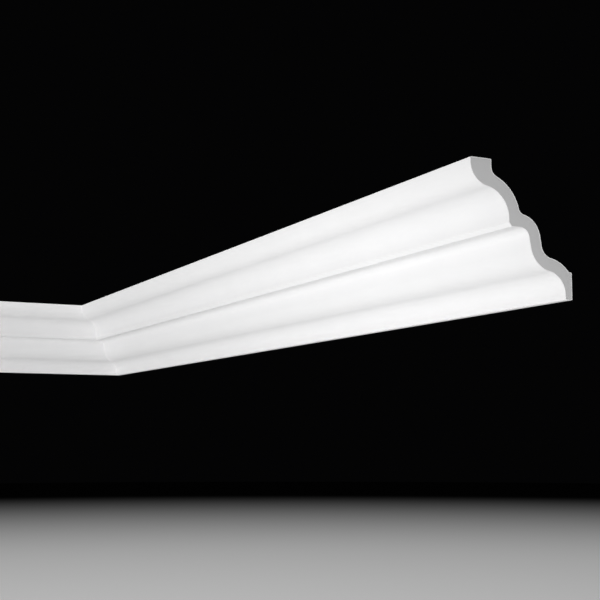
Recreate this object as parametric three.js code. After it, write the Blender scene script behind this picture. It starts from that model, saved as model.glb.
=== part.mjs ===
// A cornice moulding: a long length and the short return that it meets in the corner of a room,
// cut at 45 degrees where they meet and square at their other ends.
// Millimetres, +Z up. The long length runs along X, with its wall face on the plane y = 0 and the
// room at y < 0. The return runs from the corner toward -Y, with its wall face looking toward -X.
// The origin is the middle of the long length's wall face.
import * as THREE from 'three';

// Lengths along the wall, from the corner of the room to the square end.
const LONG_LENGTH = 1350;
const RETURN_LENGTH = 300;

// Gap between the two mitred faces.
const JOINT_GAP = 0.3;

// Members of the face, from the ceiling down. A heading is the angle between the line of the face
// and straight down, in degrees: it is widest where an ovolo turns over into its cavetto.
const TOP_BAND = 4;
const UPPER_OVOLO_RADIUS = 21;
const UPPER_HEADING = 80;
const UPPER_CAVETTO_RADIUS = 27;
const DRIP_FACE = 3.2;
const NOSE_HEADING = 36;
const NOSE_FLAT = 4;
const NOSE_EDGE_RADIUS = 0.6;
const SOFFIT_DEPTH = 9.1;
const COVE_RADIUS = 9.5;
const FRIEZE_HEADING = 9;
const FRIEZE_LENGTH = 9;
const LOWER_OVOLO_RADIUS = 24.5;
const LOWER_HEADING = 80;
const LOWER_CAVETTO_RADIUS = 20.5;
const BOTTOM_BAND = 4.3;
const LIP_THICKNESS = 7.5;

// The hollow back, which follows the face, and the flat pads that meet the ceiling and the wall.
const SHELL_THICKNESS = 12;
const CEILING_PAD_WIDTH = 22;
const PAD_ROUND_RADIUS = 9;
const NOSE_BACK_RADIUS = 7;
const WALL_PAD_HEIGHT = 25;

// Each arc of the outline gets twice this many straight pieces.
const ARC_DIVISIONS = 6;

const COATING_COLOUR = 0xf2f2f0;

const radians = THREE.MathUtils.degToRad;

// Points of the outline are [distance from the wall, height]. These are the unit step down the
// face, and the unit vector from the face into the material, at a heading.
const along = (heading) => [-Math.sin(heading), -Math.cos(heading)];
const inward = (heading) => [-Math.cos(heading), Math.sin(heading)];

function move(point, direction, distance) {
  return [point[0] + direction[0] * distance, point[1] + direction[1] * distance];
}

// An arc of the face. A hollow arc has its centre in the room, a full one in the material.
function faceArc(start, radius, from, to) {
  const hollow = to < from;
  const side = hollow ? -1 : 1;
  const centre = move(start, inward(from), side * radius);
  const end = move(centre, inward(to), -side * radius);
  return { centre, radius, from, to, hollow, end };
}

// The arc on the back that runs one shell thickness behind an arc of the face.
function backArc(arc) {
  const radius = arc.hollow ? arc.radius + SHELL_THICKNESS : arc.radius - SHELL_THICKNESS;
  return { ...arc, radius };
}

// The face is laid out downward from its top edge at [0, 0], then moved so that the wall is at 0
// and the underside is at 0. Its height and projection are the sums of its members.
function layOutFace() {
  const upperHeading = radians(UPPER_HEADING);
  const noseHeading = radians(NOSE_HEADING);
  const friezeHeading = radians(FRIEZE_HEADING);
  const lowerHeading = radians(LOWER_HEADING);
  const level = radians(90);
  const upperOvolo = faceArc([0, -TOP_BAND], UPPER_OVOLO_RADIUS, 0, upperHeading);
  const upperCavetto = faceArc(upperOvolo.end, UPPER_CAVETTO_RADIUS, upperHeading, 0);
  const dripEnd = move(upperCavetto.end, along(0), DRIP_FACE);
  const noseTop = faceArc(dripEnd, NOSE_EDGE_RADIUS, 0, noseHeading);
  const noseFlatEnd = move(noseTop.end, along(noseHeading), NOSE_FLAT);
  const noseFoot = faceArc(noseFlatEnd, NOSE_EDGE_RADIUS, noseHeading, level);
  const soffitEnd = move(noseFoot.end, along(level), SOFFIT_DEPTH);
  const cove = faceArc(soffitEnd, COVE_RADIUS, level, friezeHeading);
  const friezeEnd = move(cove.end, along(friezeHeading), FRIEZE_LENGTH);
  const lowerOvolo = faceArc(friezeEnd, LOWER_OVOLO_RADIUS, friezeHeading, lowerHeading);
  const lowerCavetto = faceArc(lowerOvolo.end, LOWER_CAVETTO_RADIUS, lowerHeading, 0);
  const projection = LIP_THICKNESS - lowerCavetto.end[0];
  const height = BOTTOM_BAND - lowerCavetto.end[1];
  const arcs = { upperOvolo, upperCavetto, noseTop, noseFoot, cove, lowerOvolo, lowerCavetto };
  for (const arc of Object.values(arcs)) {
    arc.centre = move(arc.centre, [projection, height], 1);
  }
  return { arcs, projection, height };
}

// The round in the back between a plumb line and the back of a hollow arc below it.
function roundFromPlumb(line, below, radius) {
  const reach = below.radius + radius;
  const across = line - radius - below.centre[0];
  const centre = move(below.centre, [across, Math.sqrt(reach ** 2 - across ** 2)], 1);
  return { centre, radius, from: 0, to: Math.acos(-across / reach), hollow: false };
}

// The round in the back between the backs of two hollow arcs, one above the other.
function roundBetween(above, below, radius) {
  const reachAbove = above.radius + radius;
  const reachBelow = below.radius + radius;
  const across = below.centre[0] - above.centre[0];
  const down = below.centre[1] - above.centre[1];
  const apart = Math.hypot(across, down);
  const share = (reachAbove ** 2 - reachBelow ** 2 + apart ** 2) / (2 * apart);
  const aside = Math.sqrt(reachAbove ** 2 - share ** 2);
  const toward = [across / apart, down / apart];
  const foot = move(above.centre, toward, share);
  const centre = move(foot, [toward[1], -toward[0]], aside);
  const headingFrom = (arc) => Math.atan2(centre[1] - arc.centre[1], arc.centre[0] - centre[0]);
  return { centre, radius, from: headingFrom(above), to: headingFrom(below), hollow: false };
}

// Draws arcs onto the outline: those of the face downward, those of the back upward.
function drawArcs(outline, arcs, upward) {
  for (const arc of arcs) {
    const angle = (heading) => (arc.hollow ? Math.PI - heading : -heading);
    const [first, last] = upward ? [arc.to, arc.from] : [arc.from, arc.to];
    const clockwise = arc.hollow === upward;
    outline.absarc(...arc.centre, arc.radius, angle(first), angle(last), clockwise);
  }
}

// The closed outline of the moulding: along the top, down the face, along the underside and up
// the back.
function mouldingOutline(face) {
  const { upperCavetto, cove, lowerOvolo, lowerCavetto } = face.arcs;
  const lowerBack = backArc(lowerCavetto);
  lowerBack.to = Math.asin((WALL_PAD_HEIGHT - lowerBack.centre[1]) / lowerBack.radius);
  const coveBack = backArc(cove);
  const upperBack = backArc(upperCavetto);
  const noseRound = roundBetween(upperBack, coveBack, NOSE_BACK_RADIUS);
  const padBack = face.projection - CEILING_PAD_WIDTH;
  const padRound = roundFromPlumb(padBack, upperBack, PAD_ROUND_RADIUS);
  upperBack.from = padRound.to;
  upperBack.to = noseRound.from;
  coveBack.from = noseRound.to;
  const backArcs = [lowerBack, backArc(lowerOvolo), coveBack, noseRound, upperBack, padRound];

  const outline = new THREE.Shape();
  outline.moveTo(padBack, face.height);
  outline.lineTo(face.projection, face.height);
  drawArcs(outline, Object.values(face.arcs), false);
  outline.lineTo(LIP_THICKNESS, 0);
  outline.lineTo(0, 0);
  outline.lineTo(0, WALL_PAD_HEIGHT);
  drawArcs(outline, backArcs, true);
  outline.closePath();
  return outline;
}

// A length of moulding along Z: one end is square, and the other, in the corner of the room, is
// cut back from its wall edge at 45 degrees.
function mouldingLength(outline, length, cornerFirst) {
  const pullBack = JOINT_GAP * Math.SQRT1_2;
  const options = { depth: length, bevelEnabled: false, curveSegments: ARC_DIVISIONS };
  const geometry = new THREE.ExtrudeGeometry(outline, options);
  const position = geometry.attributes.position;
  for (let i = 0; i < position.count; i += 1) {
    const atCorner = cornerFirst === position.getZ(i) < length / 2;
    if (atCorner) {
      const cut = position.getX(i) + pullBack;
      position.setZ(i, cornerFirst ? cut : length - cut);
    }
  }
  geometry.computeVertexNormals();
  return geometry;
}

function coating(name) {
  return new THREE.MeshStandardMaterial({ name, color: COATING_COLOUR, roughness: 0.55, metalness: 0 });
}

// Stands a length in the room: the outline's x axis and the length's own axis are given.
function stand(mesh, outward, lengthwise) {
  const basis = new THREE.Matrix4().makeBasis(outward, new THREE.Vector3(0, 0, 1), lengthwise);
  mesh.setRotationFromMatrix(basis);
  return mesh;
}

function makeLongLength(outline) {
  const mesh = new THREE.Mesh(mouldingLength(outline, LONG_LENGTH, false), coating('long_coating'));
  mesh.name = 'long_length';
  mesh.position.x = LONG_LENGTH / 2;
  return stand(mesh, new THREE.Vector3(0, -1, 0), new THREE.Vector3(-1, 0, 0));
}

function makeCornerReturn(outline) {
  const mesh = new THREE.Mesh(mouldingLength(outline, RETURN_LENGTH, true), coating('return_coating'));
  mesh.name = 'corner_return';
  mesh.position.x = -LONG_LENGTH / 2;
  return stand(mesh, new THREE.Vector3(1, 0, 0), new THREE.Vector3(0, -1, 0));
}

const face = layOutFace();
const outline = mouldingOutline(face);
const cornice = new THREE.Group();
cornice.name = 'cornice_moulding';
cornice.add(makeLongLength(outline), makeCornerReturn(outline));
cornice.position.z = -WALL_PAD_HEIGHT / 2;

export default cornice;
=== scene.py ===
"""A white cornice moulding that runs along a wall and returns round the corner of the room."""
import math

import bmesh
import bpy
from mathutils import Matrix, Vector


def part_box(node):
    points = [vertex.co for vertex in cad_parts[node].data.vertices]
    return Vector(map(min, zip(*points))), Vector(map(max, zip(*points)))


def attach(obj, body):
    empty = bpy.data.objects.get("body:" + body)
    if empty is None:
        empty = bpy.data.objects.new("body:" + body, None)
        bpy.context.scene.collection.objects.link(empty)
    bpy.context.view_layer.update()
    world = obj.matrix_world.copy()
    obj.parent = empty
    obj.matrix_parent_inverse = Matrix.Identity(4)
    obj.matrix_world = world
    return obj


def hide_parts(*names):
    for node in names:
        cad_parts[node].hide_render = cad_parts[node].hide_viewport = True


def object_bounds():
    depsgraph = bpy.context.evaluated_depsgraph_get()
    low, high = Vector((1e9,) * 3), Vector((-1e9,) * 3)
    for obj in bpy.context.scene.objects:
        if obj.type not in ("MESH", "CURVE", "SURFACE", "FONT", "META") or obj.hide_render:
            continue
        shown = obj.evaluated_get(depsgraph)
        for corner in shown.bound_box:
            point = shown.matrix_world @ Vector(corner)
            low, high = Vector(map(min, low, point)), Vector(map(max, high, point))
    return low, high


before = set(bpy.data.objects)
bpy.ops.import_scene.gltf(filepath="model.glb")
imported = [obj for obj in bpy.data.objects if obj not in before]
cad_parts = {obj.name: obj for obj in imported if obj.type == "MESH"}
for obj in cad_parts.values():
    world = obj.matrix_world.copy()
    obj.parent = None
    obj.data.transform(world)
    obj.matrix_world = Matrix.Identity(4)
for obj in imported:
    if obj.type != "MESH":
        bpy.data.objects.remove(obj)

cad_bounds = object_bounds()

MM = 0.001

# Headings are angles between the line of the face and straight down.
PLUMB = 0
LEVEL = math.radians(90)

# Members of the face, from the ceiling down.
TOP_BAND = 4 * MM
UPPER_OVOLO_RADIUS = 21 * MM
UPPER_HEADING = math.radians(80)
UPPER_CAVETTO_RADIUS = 27 * MM
DRIP_FACE = 3.2 * MM
NOSE_HEADING = math.radians(36)
NOSE_FLAT = 4 * MM
NOSE_EDGE_RADIUS = 0.6 * MM
SOFFIT_DEPTH = 9.1 * MM
COVE_RADIUS = 9.5 * MM
FRIEZE_HEADING = math.radians(9)
FRIEZE_LENGTH = 9 * MM
LOWER_OVOLO_RADIUS = 24.5 * MM
LOWER_HEADING = math.radians(80)
LOWER_CAVETTO_RADIUS = 20.5 * MM
BOTTOM_BAND = 4.3 * MM
LIP_THICKNESS = 7.5 * MM

# The hollow back and its pads.
SHELL_THICKNESS = 12 * MM
CEILING_PAD_WIDTH = 22 * MM
PAD_ROUND_RADIUS = 9 * MM
NOSE_BACK_RADIUS = 7 * MM
WALL_PAD_HEIGHT = 25 * MM

# Fine form that the solids leave out. The coat stays thinner than NOSE_EDGE_RADIUS, so that the
# core's outline doesn't cross itself at the nose.
ARRIS_RADIUS = 1.0 * MM
COAT_THICKNESS = 0.5 * MM
CORE_RECESS = 0.15 * MM
JOINT_CLEARANCE = 0.02 * MM

# How finely the mesh is divided. A sharp corner of the outline moves inward by at most
# MOST_MITRE times the distance.
STATION_SPACING = 25 * MM
SAME_POINT = 0.01 * MM
ARC_STEP = math.radians(3.5)
ARRIS_STEP = math.radians(15)
SHARP_ANGLE = math.radians(30)
MOST_MITRE = 2

COAT_SLOT = 0
CORE_SLOT = 1


# The section. Points are (distance from the wall, height above the underside).

def along(heading):
    """The unit step down the face at a heading."""
    return Vector((-math.sin(heading), -math.cos(heading)))


def inward(heading):
    """The unit step from the face into the material at a heading."""
    return Vector((-math.cos(heading), math.sin(heading)))


class Arc:
    """An arc of the outline. A hollow one has its centre in the room, a full one in the material."""

    def __init__(self, centre, radius, start, end, hollow):
        self.centre = centre
        self.radius = radius
        self.start = start
        self.end = end
        self.side = -1 if hollow else 1

    @classmethod
    def leaving(cls, point, radius, start, end):
        """The arc that carries the face on from a point. It is hollow where the heading falls."""
        hollow = end < start
        side = -1 if hollow else 1
        return cls(point + inward(start) * side * radius, radius, start, end, hollow)

    def at(self, heading):
        """The point where the arc's line has this heading."""
        return self.centre - inward(heading) * self.side * self.radius

    def last(self):
        return self.at(self.end)

    def behind(self, thickness):
        """The arc that runs a thickness behind this one."""
        return Arc(self.centre, self.radius - self.side * thickness, self.start, self.end, self.side < 0)

    def points(self):
        turn = self.end - self.start
        count = max(2, round(abs(turn) / ARC_STEP))
        return [self.at(self.start + turn * i / count) for i in range(count + 1)]


def lay_out_face():
    """The face's arcs, its projection from the wall and its height. It is laid out downward from
    its top edge at (0, 0), then moved so that the wall and the underside are at 0."""
    upper_ovolo = Arc.leaving(Vector((0, -TOP_BAND)), UPPER_OVOLO_RADIUS, PLUMB, UPPER_HEADING)
    upper_cavetto = Arc.leaving(upper_ovolo.last(), UPPER_CAVETTO_RADIUS, UPPER_HEADING, PLUMB)
    drip_end = upper_cavetto.last() + along(PLUMB) * DRIP_FACE
    nose_top = Arc.leaving(drip_end, NOSE_EDGE_RADIUS, PLUMB, NOSE_HEADING)
    nose_flat_end = nose_top.last() + along(NOSE_HEADING) * NOSE_FLAT
    nose_foot = Arc.leaving(nose_flat_end, NOSE_EDGE_RADIUS, NOSE_HEADING, LEVEL)
    soffit_end = nose_foot.last() + along(LEVEL) * SOFFIT_DEPTH
    cove = Arc.leaving(soffit_end, COVE_RADIUS, LEVEL, FRIEZE_HEADING)
    frieze_end = cove.last() + along(FRIEZE_HEADING) * FRIEZE_LENGTH
    lower_ovolo = Arc.leaving(frieze_end, LOWER_OVOLO_RADIUS, FRIEZE_HEADING, LOWER_HEADING)
    lower_cavetto = Arc.leaving(lower_ovolo.last(), LOWER_CAVETTO_RADIUS, LOWER_HEADING, PLUMB)
    foot = lower_cavetto.last()
    shift = Vector((LIP_THICKNESS - foot.x, BOTTOM_BAND - foot.y))
    arcs = [upper_ovolo, upper_cavetto, nose_top, nose_foot, cove, lower_ovolo, lower_cavetto]
    for arc in arcs:
        arc.centre = arc.centre + shift
    return arcs, shift.x, shift.y


def round_from_plumb(line, below, radius):
    """The round in the back between a plumb line and the back of a hollow arc below it."""
    reach = below.radius + radius
    across = line - radius - below.centre.x
    centre = below.centre + Vector((across, math.sqrt(reach ** 2 - across ** 2)))
    return Arc(centre, radius, PLUMB, math.acos(-across / reach), False)


def round_between(above, below, radius):
    """The round in the back between the backs of two hollow arcs, one above the other."""
    reach_above = above.radius + radius
    reach_below = below.radius + radius
    toward = below.centre - above.centre
    apart = toward.length
    toward.normalize()
    share = (reach_above ** 2 - reach_below ** 2 + apart ** 2) / (2 * apart)
    aside = math.sqrt(reach_above ** 2 - share ** 2)
    centre = above.centre + toward * share + Vector((toward.y, -toward.x)) * aside
    start, end = (math.atan2(centre.y - arc.centre.y, arc.centre.x - centre.x) for arc in (above, below))
    return Arc(centre, radius, start, end, False)


def lay_out_back(arcs, projection):
    """The back's arcs from the top down: they follow the face one shell thickness behind it."""
    _, upper_cavetto, _, _, cove, lower_ovolo, lower_cavetto = arcs
    upper_back = upper_cavetto.behind(SHELL_THICKNESS)
    cove_back = cove.behind(SHELL_THICKNESS)
    lower_back = lower_cavetto.behind(SHELL_THICKNESS)
    pad_round = round_from_plumb(projection - CEILING_PAD_WIDTH, upper_back, PAD_ROUND_RADIUS)
    nose_round = round_between(upper_back, cove_back, NOSE_BACK_RADIUS)
    upper_back.start = pad_round.end
    upper_back.end = nose_round.start
    cove_back.start = nose_round.end
    lower_back.end = math.asin((WALL_PAD_HEIGHT - lower_back.centre.y) / lower_back.radius)
    return [pad_round, upper_back, nose_round, cove_back, lower_ovolo.behind(SHELL_THICKNESS), lower_back]


def arris(corner, first, last):
    """A small round on a square corner of the section, between two angles in degrees."""
    middle = math.radians((first + last) / 2)
    centre = corner - Vector((math.cos(middle), math.sin(middle))) * ARRIS_RADIUS * math.sqrt(2)
    turn = math.radians(last - first)
    count = round(abs(turn) / ARRIS_STEP)
    angles = [math.radians(first) + turn * i / count for i in range(count + 1)]
    return [centre + Vector((math.cos(angle), math.sin(angle))) * ARRIS_RADIUS for angle in angles]


def without_repeats(outline):
    """The outline without points that lie on the point before them."""
    pairs = zip(outline[-1:] + outline, outline)
    return [point for before, point in pairs if (point - before).length > SAME_POINT]


def section_outline():
    """The closed outline: along the top, down the face, along the underside and up the back."""
    arcs, projection, height = lay_out_face()
    pad_back = projection - CEILING_PAD_WIDTH
    outline = arris(Vector((pad_back, height)), 180, 90)
    outline += arris(Vector((projection, height)), 90, 0)
    for arc in arcs:
        outline += arc.points()
    outline += arris(Vector((LIP_THICKNESS, 0)), 0, -90)
    outline += arris(Vector((0, 0)), -90, -180)
    outline += arris(Vector((0, WALL_PAD_HEIGHT)), 180, 90)
    for arc in reversed(lay_out_back(arcs, projection)):
        outline += reversed(arc.points())
    return without_repeats(outline)


def inset(outline, distance):
    """The outline moved inward by a distance, point by point."""
    moved = []
    for i, point in enumerate(outline):
        before = outline[i - 1]
        after = outline[(i + 1) % len(outline)]
        first = (point - before).normalized()
        second = (after - point).normalized()
        normal = Vector((first.y + second.y, -first.x - second.x)).normalized()
        spread = max(1 / MOST_MITRE, normal.dot(Vector((first.y, -first.x))))
        moved.append(point + normal * distance / spread)
    return moved


# The lengths of moulding.

def make_piece(name, mesh, materials):
    """An object of a finished mesh, with sharp edges where its faces turn sharply."""
    bmesh.ops.recalc_face_normals(mesh, faces=mesh.faces)
    data = bpy.data.meshes.new(name)
    mesh.to_mesh(data)
    mesh.free()
    for material in materials:
        data.materials.append(material)
    data.shade_smooth()
    data.set_sharp_from_angle(angle=SHARP_ANGLE)
    piece = bpy.data.objects.new(name, data)
    bpy.context.scene.collection.objects.link(piece)
    return piece


def sweep(name, outline, length, place, materials):
    """A length of moulding. place turns (distance from the wall, distance along it from the room's
    corner, height) into a point of the frame. The corner end is mitred, the other one square."""
    mesh = bmesh.new()

    def ring(points, share, step_in=0.0):
        """Corners at a share of the way along. At the mitre, a point starts as far from the room's
        corner as it stands out from the wall."""
        corners = []
        for point in points:
            start = point.x + JOINT_CLEARANCE
            run = start + (length - step_in - start) * share
            corners.append(mesh.verts.new(place(point.x, run, point.y)))
        return corners

    def skin(one, other, slot):
        for i, corner in enumerate(one):
            after = (i + 1) % len(one)
            face = mesh.faces.new((corner, one[after], other[after], other[i]))
            face.material_index = slot

    count = max(2, round(length / STATION_SPACING))
    rings = [ring(outline, i / count) for i in range(count + 1)]
    for one, other in zip(rings, rings[1:]):
        skin(one, other, COAT_SLOT)
    mesh.faces.new(rings[0])

    core_outline = inset(outline, COAT_THICKNESS)
    rim = ring(core_outline, 1)
    sunk = ring(core_outline, 1, CORE_RECESS)
    skin(rings[-1], rim, COAT_SLOT)
    skin(rim, sunk, COAT_SLOT)
    core_face = mesh.faces.new(sunk)
    core_face.material_index = CORE_SLOT
    return make_piece(name, mesh, materials)


def make_moulding(materials):
    """The long length, and the return that it meets in the corner of the room."""
    outline = section_outline()
    long_low, long_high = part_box("long_length")
    return_low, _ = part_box("corner_return")
    corner = return_low.x
    underside = long_low.z
    long_length = long_high.x - corner
    return_length = -return_low.y

    def on_long_wall(out, run, up):
        return Vector((corner + run, -out, underside + up))

    def on_return_wall(out, run, up):
        return Vector((corner + out, -run, underside + up))

    long_piece = sweep("long_moulding", outline, long_length, on_long_wall, materials)
    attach(long_piece, "root")
    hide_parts("long_length")

    return_piece = sweep("return_moulding", outline, return_length, on_return_wall, materials)
    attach(return_piece, "root")
    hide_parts("corner_return")


# Materials. Each pair of colours is a dark one and a light one, between which a noise varies.

COAT_COLOURS = (0.798, 0.796, 0.801), (0.829, 0.826, 0.83)
CORE_COLOURS = (0.512, 0.511, 0.514), (0.552, 0.551, 0.554)


def new_material(name):
    material = bpy.data.materials.new(name)
    material.use_nodes = True
    nodes = material.node_tree.nodes
    links = material.node_tree.links
    return material, nodes, links, nodes["Principled BSDF"]


def noise(nodes, links, coordinates, scale, detail):
    node = nodes.new("ShaderNodeTexNoise")
    node.inputs["Scale"].default_value = scale
    node.inputs["Detail"].default_value = detail
    links.new(coordinates, node.inputs["Vector"])
    return node.outputs["Fac"]


def remap(nodes, links, value, low, high):
    """A value from 0 to 1 turned into one from low to high."""
    node = nodes.new("ShaderNodeMapRange")
    node.inputs["To Min"].default_value = low
    node.inputs["To Max"].default_value = high
    links.new(value, node.inputs["Value"])
    return node.outputs["Result"]


def ramp(nodes, links, value, first, last):
    """A colour that goes from the first to the last as a value goes from 0 to 1."""
    node = nodes.new("ShaderNodeValToRGB")
    node.color_ramp.elements[0].color = (*first, 1)
    node.color_ramp.elements[1].color = (*last, 1)
    links.new(value, node.inputs["Fac"])
    return node.outputs["Color"]


def bump(nodes, links, height, distance, strength, normal=None):
    node = nodes.new("ShaderNodeBump")
    node.inputs["Distance"].default_value = distance
    node.inputs["Strength"].default_value = strength
    links.new(height, node.inputs["Height"])
    if normal is not None:
        links.new(normal, node.inputs["Normal"])
    return node.outputs["Normal"]


def coat_material():
    """White primer on smooth moulded foam: satin, with a fine grain and a faint mottle."""
    material, nodes, links, shader = new_material("white_primer")
    coordinates = nodes.new("ShaderNodeTexCoord").outputs["Object"]
    mottle = noise(nodes, links, coordinates, scale=22, detail=3)
    grain = noise(nodes, links, coordinates, scale=1400, detail=2)
    swell = noise(nodes, links, coordinates, scale=9, detail=1)
    links.new(ramp(nodes, links, mottle, *COAT_COLOURS), shader.inputs["Base Color"])
    links.new(remap(nodes, links, mottle, low=0.5, high=0.62), shader.inputs["Roughness"])
    shader.inputs["Specular IOR Level"].default_value = 0.35
    soft = bump(nodes, links, swell, distance=0.4 * MM, strength=0.3)
    fine = bump(nodes, links, grain, distance=0.05 * MM, strength=0.35, normal=soft)
    links.new(fine, shader.inputs["Normal"])
    return material


def core_material():
    """The sawn foam core: grey, matt and finely porous."""
    material, nodes, links, shader = new_material("sawn_foam")
    coordinates = nodes.new("ShaderNodeTexCoord").outputs["Object"]
    cells = nodes.new("ShaderNodeTexVoronoi")
    cells.inputs["Scale"].default_value = 1100
    links.new(coordinates, cells.inputs["Vector"])
    cloud = noise(nodes, links, coordinates, scale=60, detail=3)
    links.new(ramp(nodes, links, cloud, *CORE_COLOURS), shader.inputs["Base Color"])
    shader.inputs["Roughness"].default_value = 0.9
    shader.inputs["Specular IOR Level"].default_value = 0.2
    porous = bump(nodes, links, cells.outputs["Distance"], distance=0.1 * MM, strength=0.4)
    links.new(porous, shader.inputs["Normal"])
    return material


# Studio, in metres. A light's steps, along X and Y, and what it aims at are from the moulding's
# middle. ABOVE_HEIGHT is from that middle too, and the low lights' heights are from the floor.

FLOOR_DROP = 0.50
FLOOR_RADIUS = 9.0
FLOOR_SIDES = 96
FLOOR_COLOUR = (0.66, 0.66, 0.66)
# The floor's colour is painted from pale to near black between the pool radius and the pool edge. This is
# a painted falloff of light, a painted pool of light, not the floor's own colour.
FLOOR_PAINTED_DARK_COLOUR = (0.0016, 0.0016, 0.0016)
PAINTED_POOL_RADIUS = 2.2
PAINTED_POOL_EDGE = 6.5
BACKDROP = (0.0012, 0.0012, 0.0013)
FILL = 0.29
ABOVE_STEPS = (0.1, -0.15)
ABOVE_HEIGHT = 2.6
FRONT_STEPS = (0.45, -1.85)
FRONT_HEIGHT = 0.14
FRONT_AIM = (0.05, 0.1, 0)
SIDE_STEPS = (1.2, -0.45)
SIDE_HEIGHT = 0.17
SIDE_AIM = (-0.2, 0.1, 0)


def make_floor(level):
    """A pale floor below the moulding whose colour is painted darker away from it: a painted pool of
    light that fades to near black.
    """
    material, nodes, links, shader = new_material("pale_floor_painted_falloff")
    coordinates = nodes.new("ShaderNodeTexCoord").outputs["Object"]
    distance = nodes.new("ShaderNodeVectorMath")
    distance.operation = "LENGTH"
    links.new(coordinates, distance.inputs[0])
    # Painted falloff of light: the floor's colour darkens with distance from the floor's middle.
    painted_falloff = nodes.new("ShaderNodeMapRange")
    painted_falloff.interpolation_type = "SMOOTHSTEP"
    painted_falloff.inputs["From Min"].default_value = PAINTED_POOL_RADIUS
    painted_falloff.inputs["From Max"].default_value = PAINTED_POOL_EDGE
    links.new(distance.outputs["Value"], painted_falloff.inputs["Value"])
    colour = ramp(nodes, links, painted_falloff.outputs["Result"], FLOOR_COLOUR, FLOOR_PAINTED_DARK_COLOUR)
    links.new(colour, shader.inputs["Base Color"])
    shader.inputs["Roughness"].default_value = 0.9
    shader.inputs["Specular IOR Level"].default_value = 0.0
    place = (0, 0, level)
    bpy.ops.mesh.primitive_circle_add(
        vertices=FLOOR_SIDES, radius=FLOOR_RADIUS, fill_type="NGON", location=place)
    floor = bpy.context.object
    floor.name = "studio_floor"
    floor.data.materials.append(material)


def aim(thing, target):
    thing.rotation_mode = "QUATERNION"
    thing.rotation_quaternion = (target - thing.location).to_track_quat("-Z", "Y")


def softbox(name, place, target, width, height, power, spread):
    """A soft rectangle of light, unseen by the camera. Its power is in watts, its spread in
    degrees."""
    data = bpy.data.lights.new(name, "AREA")
    data.shape = "RECTANGLE"
    data.size = width
    data.size_y = height
    data.energy = power
    data.spread = math.radians(spread)
    light = bpy.data.objects.new(name, data)
    light.location = place
    light.visible_camera = False
    aim(light, target)
    bpy.context.scene.collection.objects.link(light)


def beside(middle, steps, height):
    return Vector((middle.x + steps[0], middle.y + steps[1], height))


def make_lights(middle, floor_level):
    """A wide ceiling of light, which the floor sends back up, and low softboxes for the face."""
    above = beside(middle, ABOVE_STEPS, middle.z + ABOVE_HEIGHT)
    straight_down = above - Vector((0, 0, 1))
    softbox("above", above, straight_down, width=4.0, height=3.2, power=66, spread=180)
    front = beside(middle, FRONT_STEPS, floor_level + FRONT_HEIGHT)
    front_target = middle + Vector(FRONT_AIM)
    softbox("front", front, front_target, width=2.8, height=0.2, power=4.3, spread=60)
    side = beside(middle, SIDE_STEPS, floor_level + SIDE_HEIGHT)
    side_target = middle + Vector(SIDE_AIM)
    softbox("side", side, side_target, width=0.6, height=0.3, power=1.35, spread=65)


def make_world():
    """An even fill on everything, in front of a backdrop that the camera sees as near black."""
    world = bpy.data.worlds.new("studio")
    bpy.context.scene.world = world
    world.use_nodes = True
    nodes = world.node_tree.nodes
    links = world.node_tree.links
    seen = nodes["Background"]
    seen.inputs["Color"].default_value = (*BACKDROP, 1)
    fill = nodes.new("ShaderNodeBackground")
    fill.inputs["Color"].default_value = (1, 1, 1, 1)
    fill.inputs["Strength"].default_value = FILL
    mix = nodes.new("ShaderNodeMixShader")
    links.new(nodes.new("ShaderNodeLightPath").outputs["Is Camera Ray"], mix.inputs["Fac"])
    links.new(fill.outputs["Background"], mix.inputs[1])
    links.new(seen.outputs["Background"], mix.inputs[2])
    links.new(mix.outputs["Shader"], nodes["World Output"].inputs["Surface"])


# Camera. It stands past the foot of the long length's square end, out from the wall and lower. It
# looks back along the wall, turned toward it and tilted up.

CAMERA_AHEAD = 0.814
CAMERA_OUT = 0.669
CAMERA_BELOW = 0.124
CAMERA_TURN = math.radians(26.06)
CAMERA_TILT = math.radians(6.91)
SENSOR_MILLIMETRES = 36
FOCAL_PIXELS = 1155.5
PHOTO_PIXELS = 600


def make_camera(foot):
    data = bpy.data.cameras.new("camera")
    data.sensor_width = SENSOR_MILLIMETRES
    data.lens = SENSOR_MILLIMETRES * FOCAL_PIXELS / PHOTO_PIXELS
    camera = bpy.data.objects.new("camera", data)
    camera.location = foot + Vector((CAMERA_AHEAD, -CAMERA_OUT, -CAMERA_BELOW))
    level = Vector((-math.cos(CAMERA_TURN), math.sin(CAMERA_TURN), 0)) * math.cos(CAMERA_TILT)
    aim(camera, camera.location + level + Vector((0, 0, math.sin(CAMERA_TILT))))
    bpy.context.scene.collection.objects.link(camera)
    bpy.context.scene.camera = camera


make_moulding([coat_material(), core_material()])
low, high = (Vector(corner) for corner in cad_bounds)
make_camera(Vector((high.x, high.y, low.z)))
floor_level = low.z - FLOOR_DROP
make_floor(floor_level)
make_lights((low + high) / 2, floor_level)
make_world()
bpy.context.scene.view_settings.view_transform = "Standard"
